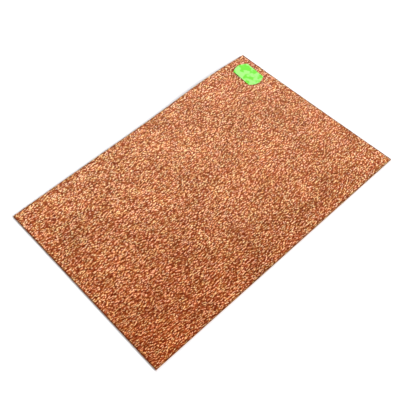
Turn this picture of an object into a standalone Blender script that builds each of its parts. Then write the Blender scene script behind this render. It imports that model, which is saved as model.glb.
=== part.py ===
"""A sheet of coarse coated abrasive, lying grain side up, with a blank price label.

The sheet is built up as it is on the coating line: a heavy paper backing, the
make coat of resin, the layer of grain that the make coat holds by its feet, and
the size coat that locks the grain from above.  The label lies on top, on its own
film of adhesive.  Every layer is a separate solid.

Frame: origin at the middle of the underside, +X along the long side, +Y along
the short side, +Z up out of the grain.
"""

import math

import bmesh
import bpy
from mathutils import Matrix, Vector

# Driving dimensions, in metres.
SHEET_LENGTH = 0.240
SHEET_WIDTH = 0.160
CORNER_RADIUS = 0.0008
LAYER_GAP = 0.00002

BACKING_THICKNESS = 0.00050
MAKE_COAT_THICKNESS = 0.00015
GRAIN_THICKNESS = 0.00080
SIZE_COAT_THICKNESS = 0.00010

LABEL_LENGTH = 0.026
LABEL_WIDTH = 0.016
LABEL_SHOULDER = 0.0030
LABEL_TURN = math.radians(-4.0)
LABEL_CENTRE = Vector((0.1058, 0.0594))
ADHESIVE_THICKNESS = 0.00005
ADHESIVE_MARGIN = 0.0002
LABEL_THICKNESS = 0.00010

CORNER_SEGMENTS = 4
LABEL_END_SEGMENTS = 12


def clear_objects():
    """Remove whatever the file already holds."""
    for old in list(bpy.data.objects):
        bpy.data.objects.remove(old)


def make_material(name, colour, roughness, specular=0.5):
    """A Principled material; colour is linear RGB."""
    material = bpy.data.materials.new(name)
    material.use_nodes = True
    shader = material.node_tree.nodes["Principled BSDF"]
    shader.inputs["Base Color"].default_value = (*colour, 1.0)
    shader.inputs["Roughness"].default_value = roughness
    shader.inputs["Specular IOR Level"].default_value = specular
    shader.inputs["Metallic"].default_value = 0.0
    material.diffuse_color = (*colour, 1.0)
    return material


def sheet_outline():
    """The cut edge of the sheet: a rectangle with very slightly worn corners."""
    points = []
    reach_x = SHEET_LENGTH / 2 - CORNER_RADIUS
    reach_y = SHEET_WIDTH / 2 - CORNER_RADIUS
    corners = [(1, 1, 0.0), (-1, 1, 0.5), (-1, -1, 1.0), (1, -1, 1.5)]
    for side_x, side_y, start in corners:
        for step in range(CORNER_SEGMENTS + 1):
            angle = math.pi * (start + 0.5 * step / CORNER_SEGMENTS)
            points.append(Vector((
                side_x * reach_x + CORNER_RADIUS * math.cos(angle),
                side_y * reach_y + CORNER_RADIUS * math.sin(angle),
            )))
    return points


def label_outline(margin=0.0):
    """A price label: straight long sides and bowed short ends, margin drawn in."""
    half_width = LABEL_WIDTH / 2 - margin
    half_length = LABEL_LENGTH / 2 - margin
    points = []
    for end in (1, -1):
        for step in range(LABEL_END_SEGMENTS + 1):
            across = 1.0 - 2.0 * step / LABEL_END_SEGMENTS
            bow = LABEL_SHOULDER * (1.0 - math.cos(across * math.pi / 2))
            points.append(Vector((end * half_width * across, end * (half_length - bow))))
    return points


def place_outline(points, centre, turn):
    """The outline turned about its own middle and moved to its centre."""
    rotation = Matrix.Rotation(turn, 2)
    return [rotation @ point + centre for point in points]


def make_layer(name, outline, bottom, thickness, material):
    """Extrude an outline upwards into one closed slab, resting at bottom."""
    layer = bmesh.new()
    rim = [layer.verts.new((point.x, point.y, 0.0)) for point in outline]
    base = layer.faces.new(rim)
    lifted = bmesh.ops.extrude_face_region(layer, geom=[base])
    top_verts = [item for item in lifted["geom"] if isinstance(item, bmesh.types.BMVert)]
    bmesh.ops.translate(layer, vec=(0.0, 0.0, thickness), verts=top_verts)
    bmesh.ops.recalc_face_normals(layer, faces=layer.faces)
    mesh = bpy.data.meshes.new(name)
    layer.to_mesh(mesh)
    layer.free()
    mesh.materials.append(material)
    piece = bpy.data.objects.new(name, mesh)
    piece.location = (0.0, 0.0, bottom)
    bpy.context.scene.collection.objects.link(piece)
    return piece


def build_sheet(parent):
    """The four layers of the abrasive sheet; returns the height of the top face."""
    resin_brown = (0.240, 0.062, 0.024)
    layers = [
        ("backing_paper", BACKING_THICKNESS,
         make_material("backing_paper", (0.380, 0.235, 0.130), 0.85, 0.3)),
        ("make_coat", MAKE_COAT_THICKNESS,
         make_material("make_coat", resin_brown, 0.45)),
        ("abrasive_grain", GRAIN_THICKNESS,
         make_material("abrasive_grain", (0.520, 0.205, 0.093), 0.60)),
        ("size_coat", SIZE_COAT_THICKNESS,
         make_material("size_coat", (0.440, 0.165, 0.075), 0.40)),
    ]
    outline = sheet_outline()
    height = 0.0
    for name, thickness, material in layers:
        piece = make_layer(name, outline, height, thickness, material)
        piece.parent = parent
        height += thickness + LAYER_GAP
    return height - LAYER_GAP


def build_label(parent, sheet_top):
    """The price label and its film of adhesive, on the grain near one corner."""
    film = place_outline(label_outline(ADHESIVE_MARGIN), LABEL_CENTRE, LABEL_TURN)
    film_bottom = sheet_top + LAYER_GAP
    adhesive = make_layer(
        "label_adhesive", film, film_bottom, ADHESIVE_THICKNESS,
        make_material("label_adhesive", (0.720, 0.700, 0.560), 0.30),
    )
    face = place_outline(label_outline(), LABEL_CENTRE, LABEL_TURN)
    face_bottom = film_bottom + ADHESIVE_THICKNESS + LAYER_GAP
    label = make_layer(
        "price_label", face, face_bottom, LABEL_THICKNESS,
        make_material("price_label", (0.310, 1.000, 0.190), 0.55),
    )
    adhesive.parent = parent
    label.parent = parent


def build():
    clear_objects()
    root = bpy.data.objects.new("abrasive_sheet", None)
    bpy.context.scene.collection.objects.link(root)
    sheet_top = build_sheet(root)
    build_label(root, sheet_top)


build()
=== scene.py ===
"""A sheet of coarse sandpaper lying grain side up, with a blank price label.

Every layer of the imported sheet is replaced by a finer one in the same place: the
paper backing, the resin film on it, the rough resin bed, the crystals that stand
in it, and the label with its film of adhesive.  All of them follow one gentle
warp, which lifts the long edge near the label off the floor.
"""

import math

import bpy
import numpy as np
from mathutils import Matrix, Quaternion, Vector


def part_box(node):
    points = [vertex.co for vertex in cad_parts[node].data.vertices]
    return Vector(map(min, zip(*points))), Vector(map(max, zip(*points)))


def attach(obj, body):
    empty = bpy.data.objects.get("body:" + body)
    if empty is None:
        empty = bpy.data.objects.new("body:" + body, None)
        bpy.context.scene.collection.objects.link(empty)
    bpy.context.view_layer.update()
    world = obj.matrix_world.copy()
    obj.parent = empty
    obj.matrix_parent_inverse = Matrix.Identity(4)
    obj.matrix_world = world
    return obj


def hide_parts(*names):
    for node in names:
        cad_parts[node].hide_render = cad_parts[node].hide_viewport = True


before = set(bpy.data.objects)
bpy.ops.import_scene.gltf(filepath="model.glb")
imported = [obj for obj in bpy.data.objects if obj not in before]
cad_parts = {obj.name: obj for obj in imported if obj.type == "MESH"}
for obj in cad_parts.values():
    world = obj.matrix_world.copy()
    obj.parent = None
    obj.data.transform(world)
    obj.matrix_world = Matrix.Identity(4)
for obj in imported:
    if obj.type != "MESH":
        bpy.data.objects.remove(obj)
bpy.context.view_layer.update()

MM = 0.001
SEED = 24

# The frame's own sizes.
SHEET_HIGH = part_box("backing_paper")[1]
HALF_LENGTH = SHEET_HIGH.x
HALF_WIDTH = SHEET_HIGH.y
BACKING_TOP = SHEET_HIGH.z
MAKE_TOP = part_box("make_coat")[1].z
SHEET_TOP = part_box("size_coat")[1].z
LABEL_LOW, LABEL_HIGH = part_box("price_label")

# Warp of the lying sheet: how far its far edge stands off the floor, all along and at the
# hump, whose place and reach are shares of half the sheet's length.
BACK_EDGE_LIFT = 0.9 * MM
HUMP_LIFT = 3.0 * MM
HUMP_PLACE = 0.63
HUMP_REACH = 0.36

# Grid step of the smooth layers under the resin bed.
PLAIN_STEP = 4.0 * MM

# Resin bed: the pitch of its bumps, how far they stray, and their heights.
RESIN_STEP = 0.8 * MM
RESIN_COARSE = 10
RESIN_JITTER = 0.3
RESIN_LOW = 0.85 * MM
RESIN_HIGH = 1.20 * MM

# Crystals: half lengths, half widths and full heights.
GRAIN_PITCH = 1.36 * MM
GRAIN_SCATTER = 0.5
GRAIN_LONG = (0.65 * MM, 1.20 * MM)
GRAIN_SLIM = (0.18 * MM, 0.32 * MM)
GRAIN_TALL = (0.40 * MM, 0.80 * MM)
GRAIN_CHIP = 0.2
GRAIN_FLOOR = 0.85 * MM
GRAIN_LEAN = math.radians(14.0)
GRAIN_LAY = math.radians(-4.0)
GRAIN_STRAY = math.radians(11.0)
BROWN_SHARE = 0.30

# Label, and how far its film of adhesive lies under its face paper and in from its edge.
LABEL_TURN = math.radians(-4.0)
LABEL_SIZE = (16.0 * MM, 26.0 * MM)
LABEL_CELLS = (36, 56)
LABEL_BOW = 3.0 * MM
LABEL_SHEET = 0.1 * MM
ADHESIVE_MARGIN = 0.2 * MM
ADHESIVE_TOP = 0.02 * MM
ADHESIVE_FOOT = 0.07 * MM

# Waves that the label rides on, one for each axis: pitch, sway and pitch of the sway.
RIPPLE_HEIGHT = 0.04 * MM
RIPPLE_REST = 0.02 * MM
RIPPLE_X = (0.9 * MM, 1.7, 2.1 * MM)
RIPPLE_Y = (1.3 * MM, 1.3, 1.7 * MM)

# Gloss of the cured resin and of the crystals.
RESIN_GLOSS = 0.05
CRYSTAL_GLOSS = 0.12

# Darkened band along the cut edge, and depth of the fine relief in the materials.
RIM_WIDTH = 1.3 * MM
BUMP_DEPTH = 0.1 * MM

# How far the painted shade and sheen go along each side of the sheet, and the painted haze of
# reflected light at the far end.
SLOPE_X = 0.30
SLOPE_Y = 0.18
SHEEN_HAZE_MOST = 0.14
SHEEN_HAZE_COLOUR = (0.43, 0.18, 0.088, 1.0)

# Sockets of a Mix node in its colour mode: factor, two colours, result.
MIX_INPUTS = (0, 6, 7)
MIX_RESULT = 2

# Half the floor's side.
FLOOR_REACH = 12.0

# Lights: name, place, width, power and colour.
LIGHTS = [
    ("key", (0.80, -1.60, 1.30), 1.20, 74.0, (1.0, 0.99, 0.98)),
    ("back", (0.40, 0.60, 0.60), 0.60, 8.0, (1.0, 1.0, 1.0)),
    ("fill", (-1.40, -0.30, 0.45), 0.80, 13.0, (1.0, 1.0, 1.0)),
]
WORLD_COLOUR = (0.98, 0.98, 1.0, 1.0)
WORLD_STRENGTH = 0.25

# Camera.
CAMERA_LENS = 57.1
CAMERA_SENSOR = 36.0
CAMERA_PLACE = Vector((-0.1869, -0.2040, 0.3894))
CAMERA_TARGET = Vector((-0.0111, -0.0047, 0.0))
CAMERA_TILT = math.radians(-2.26)


def warp(x, y):
    """Height of the sheet's underside over the floor."""
    across = x / HALF_LENGTH
    back = ((1.0 + y / HALF_WIDTH) / 2.0) ** 3
    edge = BACK_EDGE_LIFT * back * (1.0 - across ** 2)
    hump = HUMP_LIFT * back * np.exp(-((across - HUMP_PLACE) / HUMP_REACH) ** 2)
    return edge + hump


# Meshes.

def make_piece(name, points, faces, material):
    """A mesh object from points and faces, in the frame's own coordinates."""
    mesh = bpy.data.meshes.new(name)
    mesh.from_pydata(points.tolist(), [], faces)
    mesh.materials.append(material)
    piece = bpy.data.objects.new(name, mesh)
    bpy.context.scene.collection.objects.link(piece)
    return piece


def grid_cells(columns, rows, step):
    """Cells of step by step grid squares, which keep every grid point on the outer edge."""
    cells = []
    for j in range(0, rows, step):
        for i in range(0, columns, step):
            front = range(i, i + step) if j == 0 else (i,)
            right = range(j, j + step) if i + step == columns else (j,)
            rear = range(i + step, i, -1) if j + step == rows else (i + step,)
            left = range(j + step, j, -1) if i == 0 else (j + step,)
            ring = [(c, j) for c in front] + [(i + step, r) for r in right]
            ring += [(c, j + step) for c in rear] + [(i, r) for r in left]
            cells.append([r * (columns + 1) + c for c, r in ring])
    return cells


def grid_rim(columns, rows):
    """The outer edge of the grid, anticlockwise from above."""
    rim = [(c, 0) for c in range(columns)] + [(columns, r) for r in range(rows)]
    rim += [(c, rows) for c in range(columns, 0, -1)] + [(0, r) for r in range(rows, 0, -1)]
    return [r * (columns + 1) + c for c, r in rim]


def grid_solid(name, x, y, top, bottom, material, bottom_step=1):
    """A closed slab between two height fields over one grid; its underside may be coarser."""
    rows, columns = x.shape[0] - 1, x.shape[1] - 1
    count = x.size
    upper = np.stack([x, y, top], axis=-1).reshape(count, 3)
    lower = np.stack([x, y, bottom], axis=-1).reshape(count, 3)
    points = np.concatenate([upper, lower])
    faces = grid_cells(columns, rows, 1)
    faces += [[count + v for v in reversed(cell)] for cell in grid_cells(columns, rows, bottom_step)]
    rim = grid_rim(columns, rows)
    for here, after in zip(rim, rim[1:] + rim[:1]):
        faces.append([count + here, count + after, after, here])
    used = np.unique(np.concatenate([np.array(face) for face in faces]))
    renumber = np.zeros(len(points), int)
    renumber[used] = np.arange(len(used))
    faces = [renumber[face].tolist() for face in faces]
    return make_piece(name, points[used], faces, material)


def sheet_grid(step):
    """Grid points over the whole sheet."""
    columns = round(2 * HALF_LENGTH / step)
    rows = round(2 * HALF_WIDTH / step)
    return np.meshgrid(
        np.linspace(-HALF_LENGTH, HALF_LENGTH, columns + 1),
        np.linspace(-HALF_WIDTH, HALF_WIDTH, rows + 1),
    )


def build_backing(material):
    """The paper, from its underside up."""
    x, y = sheet_grid(PLAIN_STEP)
    ground = warp(x, y)
    return grid_solid("backing_paper_sheet", x, y, ground + BACKING_TOP, ground, material)


def build_make_coat(material):
    """The film of resin on the paper, which shows only at the cut edge."""
    x, y = sheet_grid(PLAIN_STEP)
    ground = warp(x, y)
    return grid_solid("make_coat_film", x, y, ground + MAKE_TOP, ground + BACKING_TOP, material)


def build_resin_bed(rng, material):
    """The rough resin surface that shows between the crystals."""
    x, y = sheet_grid(RESIN_STEP)
    shift = RESIN_JITTER * RESIN_STEP
    inner = (slice(1, -1), slice(1, -1))
    x[inner] += rng.uniform(-shift, shift, x[inner].shape)
    y[inner] += rng.uniform(-shift, shift, y[inner].shape)
    ground = warp(x, y)
    top = ground + rng.uniform(RESIN_LOW, RESIN_HIGH, x.shape)
    return grid_solid("size_coat_resin", x, y, top, ground + MAKE_TOP, material,
                      bottom_step=RESIN_COARSE)


# A crystal: a six-sided foot drawn up to a short ridge.
SHARD_POINTS = np.array([
    (1, 0, 0), (0.55, 1, 0), (-0.55, 1, 0), (-1, 0, 0), (-0.55, -1, 0), (0.55, -1, 0),
    (0.45, 0, 1), (-0.45, 0, 1),
], float)
SHARD_FACES = [
    (5, 4, 3, 2, 1, 0), (0, 1, 6), (1, 2, 7, 6), (2, 3, 7), (3, 4, 7), (4, 5, 6, 7), (5, 0, 6),
]


def grain_places(rng):
    """Crystal centres: staggered rows, each point shifted at random."""
    x, y = np.meshgrid(
        np.arange(-HALF_LENGTH + GRAIN_PITCH / 2, HALF_LENGTH, GRAIN_PITCH),
        np.arange(-HALF_WIDTH + GRAIN_PITCH / 2, HALF_WIDTH, GRAIN_PITCH),
    )
    x[::2] += GRAIN_PITCH / 2
    x = x + rng.uniform(-GRAIN_SCATTER, GRAIN_SCATTER, x.shape) * GRAIN_PITCH
    y = y + rng.uniform(-GRAIN_SCATTER, GRAIN_SCATTER, y.shape) * GRAIN_PITCH
    return x.ravel(), y.ravel()


def turn_points(shape, angle, axes):
    """Turn each crystal's points in the plane of two axes."""
    first, second = axes
    cosine, sine = np.cos(angle)[:, None], np.sin(angle)[:, None]
    turned = shape.copy()
    turned[..., first] = shape[..., first] * cosine - shape[..., second] * sine
    turned[..., second] = shape[..., first] * sine + shape[..., second] * cosine
    return turned


def build_crystals(rng, name, x, y, material):
    """Closed, angular crystals that stand in the resin; none passes the cut edge."""
    count = len(x)
    scale = np.stack([
        rng.uniform(*GRAIN_LONG, count),
        rng.uniform(*GRAIN_SLIM, count),
        rng.uniform(*GRAIN_TALL, count),
    ], axis=-1)
    corners = len(SHARD_POINTS)
    shape = SHARD_POINTS + rng.uniform(-GRAIN_CHIP, GRAIN_CHIP, (count, corners, 3))
    shape = shape * scale[:, None, :]
    lean = rng.normal(0.0, GRAIN_LEAN, count)
    turn = rng.normal(GRAIN_LAY, GRAIN_STRAY, count)
    shape = turn_points(shape, lean, axes=(0, 2))
    shape = turn_points(shape, turn, axes=(0, 1))
    reach = np.abs(shape).max(axis=1)
    x = np.clip(x, reach[:, 0] - HALF_LENGTH, HALF_LENGTH - reach[:, 0])
    y = np.clip(y, reach[:, 1] - HALF_WIDTH, HALF_WIDTH - reach[:, 1])
    centre = np.stack([x, y, warp(x, y) + GRAIN_FLOOR], axis=-1)
    points = (shape + centre[:, None, :]).reshape(-1, 3)
    ground = warp(points[:, 0], points[:, 1])
    points[:, 2] = np.clip(points[:, 2], ground + BACKING_TOP, ground + SHEET_TOP)
    faces = [
        [corners * crystal + corner for corner in face]
        for crystal in range(count) for face in SHARD_FACES
    ]
    return make_piece(name, points, faces, material)


def label_grid(margin):
    """Grid points over the label, whose short ends are bowed."""
    columns, rows = LABEL_CELLS
    across, along = np.meshgrid(np.linspace(-1, 1, columns + 1), np.linspace(-1, 1, rows + 1))
    half_width = LABEL_SIZE[0] / 2 - margin
    half_length = LABEL_SIZE[1] / 2 - margin
    bow = LABEL_BOW * (1.0 - np.cos(across * math.pi / 2))
    u = across * half_width
    v = along * (half_length - bow)
    centre = (LABEL_LOW + LABEL_HIGH) / 2
    cosine, sine = math.cos(LABEL_TURN), math.sin(LABEL_TURN)
    return centre.x + u * cosine - v * sine, centre.y + u * sine + v * cosine


def wave(along, aside, pitch, sway, sway_pitch):
    """A wave along one axis, whose crests wander with the other."""
    return np.sin(along / pitch + sway * np.sin(aside / sway_pitch))


def label_ripple(x, y):
    """How far the label rides up and down over the grit under it."""
    return RIPPLE_HEIGHT * (wave(x, y, *RIPPLE_X) + wave(y, x, *RIPPLE_Y)) + RIPPLE_REST


def build_label(paper, adhesive):
    """The face paper and the film of adhesive under it."""
    x, y = label_grid(0.0)
    base = warp(x, y) + LABEL_LOW.z + label_ripple(x, y)
    face = grid_solid("price_label_paper", x, y, base + LABEL_SHEET, base, paper)
    x, y = label_grid(ADHESIVE_MARGIN)
    base = warp(x, y) + LABEL_LOW.z + label_ripple(x, y)
    film = grid_solid("label_adhesive_film", x, y, base - ADHESIVE_TOP, base - ADHESIVE_FOOT,
                      adhesive)
    return face, film


# Materials.

class Nodes:
    """Short calls for building one material's node tree."""

    def __init__(self, name):
        self.material = bpy.data.materials.new(name)
        self.material.use_nodes = True
        self.tree = self.material.node_tree
        self.shader = self.tree.nodes["Principled BSDF"]
        self.place = self.tree.nodes.new("ShaderNodeTexCoord").outputs["Object"]

    def link(self, source, target):
        self.tree.links.new(source, target)

    def feed(self, value, socket):
        """Link another node's output, or set a plain value."""
        if isinstance(value, bpy.types.NodeSocket):
            self.link(value, socket)
        else:
            socket.default_value = value

    def noise(self, scale, detail=2.0, roughness=0.5, stretch=(1.0, 1.0, 1.0), turn=0.0):
        mapping = self.tree.nodes.new("ShaderNodeMapping")
        mapping.inputs["Scale"].default_value = stretch
        mapping.inputs["Rotation"].default_value = (0.0, 0.0, turn)
        self.link(self.place, mapping.inputs["Vector"])
        texture = self.tree.nodes.new("ShaderNodeTexNoise")
        texture.inputs["Scale"].default_value = scale
        texture.inputs["Detail"].default_value = detail
        texture.inputs["Roughness"].default_value = roughness
        self.link(mapping.outputs["Vector"], texture.inputs["Vector"])
        return texture.outputs["Fac"]

    def ramp(self, factor, stops):
        node = self.tree.nodes.new("ShaderNodeValToRGB")
        elements = node.color_ramp.elements
        while len(elements) < len(stops):
            elements.new(0.5)
        for element, (position, colour) in zip(elements, stops):
            element.position = position
            element.color = (*colour, 1.0)
        self.link(factor, node.inputs["Fac"])
        return node.outputs["Color"]

    def mix(self, factor, first, second, blend="MIX"):
        node = self.tree.nodes.new("ShaderNodeMix")
        node.data_type = "RGBA"
        node.blend_type = blend
        for value, place in zip((factor, first, second), MIX_INPUTS):
            self.feed(value, node.inputs[place])
        return node.outputs[MIX_RESULT]

    def math(self, operation, first, second=0.0):
        node = self.tree.nodes.new("ShaderNodeMath")
        node.operation = operation
        for value, socket in zip((first, second), node.inputs):
            self.feed(value, socket)
        return node.outputs[0]

    def random(self):
        """One number for each loose part of the mesh."""
        return self.tree.nodes.new("ShaderNodeNewGeometry").outputs["Random Per Island"]

    def bump(self, height, strength):
        node = self.tree.nodes.new("ShaderNodeBump")
        node.inputs["Strength"].default_value = strength
        node.inputs["Distance"].default_value = BUMP_DEPTH
        self.link(height, node.inputs["Height"])
        self.link(node.outputs["Normal"], self.shader.inputs["Normal"])

    def finish(self, colour, roughness, specular=0.5):
        self.link(colour, self.shader.inputs["Base Color"])
        self.feed(roughness, self.shader.inputs["Roughness"])
        self.shader.inputs["Specular IOR Level"].default_value = specular
        return self.material


def patchy(nodes, scale, low, high):
    """Roughness that drifts between two values."""
    return nodes.ramp(nodes.noise(scale), [(0.3, (low,) * 3), (0.7, (high,) * 3)])


def cloud(nodes):
    """Slow drift of tone over the sheet: patches of about 10 to 40 mm."""
    wide = nodes.noise(26.0, 1.0)
    close = nodes.noise(110.0, 2.0, stretch=(0.7, 1.0, 1.0), turn=GRAIN_LAY)
    return nodes.mix(0.55, wide, close)


def along_diagonal(nodes):
    """Goes from about 0 at the corner -X -Y of the sheet to about 1 at the corner +X +Y."""
    slope = nodes.tree.nodes.new("ShaderNodeVectorMath")
    slope.operation = "DOT_PRODUCT"
    slope.inputs[1].default_value = (SLOPE_X / HALF_LENGTH, SLOPE_Y / HALF_WIDTH, 0.0)
    nodes.link(nodes.place, slope.inputs[0])
    return nodes.math("ADD", slope.outputs["Value"], 0.5)


def painted_shade_and_sheen(nodes, along):
    """Painted shade and sheen: the colour is darker and redder towards the near corner, and paler
    and bluer towards the far one, where the light reflects.
    """
    return nodes.ramp(along, [
        (0.08, (0.92, 0.73, 0.61)),
        (0.40, (1.00, 0.96, 0.97)),
        (0.65, (1.07, 1.07, 1.13)),
        (1.00, (1.02, 1.01, 1.16)),
    ])


def rim(nodes):
    """Darker along the cut edge: most at the very edge, fading over RIM_WIDTH."""
    parts = nodes.tree.nodes.new("ShaderNodeSeparateXYZ")
    nodes.link(nodes.place, parts.inputs["Vector"])
    in_x = nodes.math("SUBTRACT", HALF_LENGTH, nodes.math("ABSOLUTE", parts.outputs["X"]))
    in_y = nodes.math("SUBTRACT", HALF_WIDTH, nodes.math("ABSOLUTE", parts.outputs["Y"]))
    inside = nodes.math("MULTIPLY", nodes.math("MINIMUM", in_x, in_y), 1.0 / RIM_WIDTH)
    return nodes.ramp(inside, [(0.25, (0.50, 0.52, 0.44)), (1.00, (1.00, 1.00, 1.00))])


def hue(nodes):
    """Patches of a few millimetres where the resin is redder or more golden."""
    patches = nodes.noise(380.0, 1.0, stretch=(0.7, 1.0, 1.0), turn=GRAIN_LAY)
    return nodes.ramp(patches, [(0.38, (1.02, 0.93, 1.00)), (0.62, (0.98, 1.08, 0.94))])


def tone_and_painted_light(nodes, shade, tone):
    """A shade under the tone of its place on the sheet, its hue patches, the darker band along the
    cut edge, and painted light: painted shade at the near corner and a painted haze of reflected
    light at the far one.
    """
    along = along_diagonal(nodes)
    # Painted haze of reflected light: the shade is mixed towards a pale tan, most at the far corner.
    sheen_haze = nodes.ramp(along, [(0.30, (0.0,) * 3), (0.90, (SHEEN_HAZE_MOST,) * 3)])
    shade = nodes.mix(sheen_haze, shade, SHEEN_HAZE_COLOUR)
    # The tone by place is painted light: painted shade at the near corner, painted sheen at the far
    # one.
    for layer in (tone, hue(nodes), painted_shade_and_sheen(nodes, along), rim(nodes)):
        shade = nodes.mix(1.0, shade, layer, "MULTIPLY")
    return shade


def resin_material():
    """Red-brown cured resin, clouded, with a fine grain along the sheet."""
    nodes = Nodes("size_coat_resin")
    fine = nodes.noise(900.0, 1.0, stretch=(0.4, 1.0, 1.0), turn=GRAIN_LAY)
    deep = nodes.ramp(fine, [
        (0.35, (0.100, 0.014, 0.002)),
        (0.50, (0.172, 0.030, 0.006)),
        (0.65, (0.290, 0.073, 0.019)),
    ])
    tone = nodes.ramp(cloud(nodes), [(0.35, (0.82, 0.80, 0.78)), (0.65, (1.15, 1.17, 1.20))])
    nodes.bump(nodes.noise(2600.0), 0.3)
    return nodes.finish(tone_and_painted_light(nodes, deep, tone), patchy(nodes, 1500.0, 0.42, 0.60), RESIN_GLOSS)


def crystal_material(name, shades):
    """Crystals of one kind, each with its own shade and its own polish."""
    nodes = Nodes(name)
    own = nodes.random()
    shade = nodes.ramp(own, shades)
    tone = nodes.ramp(cloud(nodes), [(0.35, (0.85, 0.84, 0.82)), (0.65, (1.10, 1.12, 1.14))])
    gloss = nodes.ramp(own, [(0.0, (0.35,) * 3), (1.0, (0.60,) * 3)])
    return nodes.finish(tone_and_painted_light(nodes, shade, tone), gloss, CRYSTAL_GLOSS)


def golden_material():
    """Tan to straw-coloured crystals."""
    return crystal_material("golden_crystals", [
        (0.00, (0.790, 0.388, 0.160)),
        (0.35, (0.905, 0.540, 0.266)),
        (0.70, (0.980, 0.680, 0.396)),
        (1.00, (0.900, 0.700, 0.455)),
    ])


def brown_material():
    """Crystals that the resin has covered."""
    return crystal_material("brown_crystals", [
        (0.00, (0.215, 0.048, 0.014)),
        (0.50, (0.425, 0.143, 0.052)),
        (1.00, (0.640, 0.290, 0.125)),
    ])


def backing_material():
    """Brown kraft paper with its fibres along the sheet."""
    nodes = Nodes("backing_paper")
    fibre = nodes.noise(420.0, 4.0, 0.65, stretch=(0.25, 1.0, 1.0))
    felt = nodes.noise(60.0, 3.0)
    colour = nodes.ramp(nodes.mix(0.4, fibre, felt), [
        (0.35, (0.300, 0.170, 0.088)),
        (0.65, (0.440, 0.280, 0.160)),
    ])
    nodes.bump(fibre, 0.35)
    return nodes.finish(colour, patchy(nodes, 300.0, 0.78, 0.92), 0.3)


def make_coat_material():
    """Dark red-brown resin."""
    nodes = Nodes("make_coat")
    colour = nodes.ramp(nodes.noise(500.0), [
        (0.3, (0.150, 0.040, 0.015)),
        (0.7, (0.280, 0.085, 0.035)),
    ])
    return nodes.finish(colour, patchy(nodes, 600.0, 0.40, 0.55))


def label_material():
    """Bright green label paper with paler patches."""
    nodes = Nodes("price_label")
    patches = nodes.noise(190.0, 1.5)
    colour = nodes.ramp(patches, [
        (0.48, (0.235, 0.550, 0.135)),
        (0.58, (0.110, 0.470, 0.030)),
    ])
    nodes.bump(nodes.noise(1600.0), 0.2)
    return nodes.finish(colour, patchy(nodes, 700.0, 0.45, 0.60), 0.10)


def adhesive_material():
    """Cream-coloured film of adhesive."""
    nodes = Nodes("label_adhesive")
    colour = nodes.ramp(nodes.noise(700.0), [
        (0.3, (0.66, 0.64, 0.50)),
        (0.7, (0.78, 0.76, 0.62)),
    ])
    return nodes.finish(colour, patchy(nodes, 900.0, 0.25, 0.40))


# Scene.

def build_floor():
    """A pale, matt floor."""
    points = FLOOR_REACH * np.array([(-1, -1, 0), (1, -1, 0), (1, 1, 0), (-1, 1, 0)])
    nodes = Nodes("pale_floor")
    colour = nodes.ramp(nodes.noise(3.0), [(0.3, (0.66, 0.66, 0.67)), (0.7, (0.68, 0.67, 0.68))])
    floor = make_piece("floor", points, [[0, 1, 2, 3]], nodes.finish(colour, 0.9, 0.1))


def add_area_light(name, place, width, power, colour):
    """A round soft light that faces the middle of the sheet."""
    light = bpy.data.lights.new(name, "AREA")
    light.shape = "DISK"
    light.size = width
    light.energy = power
    light.color = colour
    lamp = bpy.data.objects.new(name, light)
    lamp.location = place
    lamp.rotation_mode = "QUATERNION"
    lamp.rotation_quaternion = (-Vector(place)).to_track_quat("-Z", "Y")
    bpy.context.scene.collection.objects.link(lamp)


def build_light():
    """The area lights and an even, pale world."""
    for name, place, width, power, colour in LIGHTS:
        add_area_light(name, place, width, power, colour)
    world = bpy.data.worlds.new("studio")
    world.use_nodes = True
    background = world.node_tree.nodes["Background"]
    background.inputs["Color"].default_value = WORLD_COLOUR
    background.inputs["Strength"].default_value = WORLD_STRENGTH
    bpy.context.scene.world = world
    bpy.context.scene.view_settings.view_transform = "Standard"


def build_camera():
    """Seen from the front left, well above the sheet, and turned a little on its own axis."""
    camera = bpy.data.cameras.new("camera")
    camera.lens = CAMERA_LENS
    camera.sensor_width = CAMERA_SENSOR
    rig = bpy.data.objects.new("camera", camera)
    facing = (CAMERA_TARGET - CAMERA_PLACE).to_track_quat("-Z", "Y")
    rig.location = CAMERA_PLACE
    rig.rotation_mode = "QUATERNION"
    rig.rotation_quaternion = facing @ Quaternion((0.0, 0.0, 1.0), CAMERA_TILT)
    bpy.context.scene.collection.objects.link(rig)
    bpy.context.scene.camera = rig


def stand_in(piece, node):
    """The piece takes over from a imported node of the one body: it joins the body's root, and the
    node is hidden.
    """
    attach(piece, "root")
    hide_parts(node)


def build():
    """The pieces from the bottom up, then what they are seen with."""
    rng = np.random.default_rng(SEED)
    stand_in(build_backing(backing_material()), "backing_paper")
    stand_in(build_make_coat(make_coat_material()), "make_coat")
    stand_in(build_resin_bed(rng, resin_material()), "size_coat")
    x, y = grain_places(rng)
    brown = rng.random(len(x)) < BROWN_SHARE
    for name, kind, material in (
        ("golden_crystals", ~brown, golden_material()),
        ("brown_crystals", brown, brown_material()),
    ):
        stand_in(build_crystals(rng, name, x[kind], y[kind], material), "abrasive_grain")
    face, film = build_label(label_material(), adhesive_material())
    stand_in(face, "price_label")
    stand_in(film, "label_adhesive")
    build_floor()
    build_light()
    build_camera()


build()
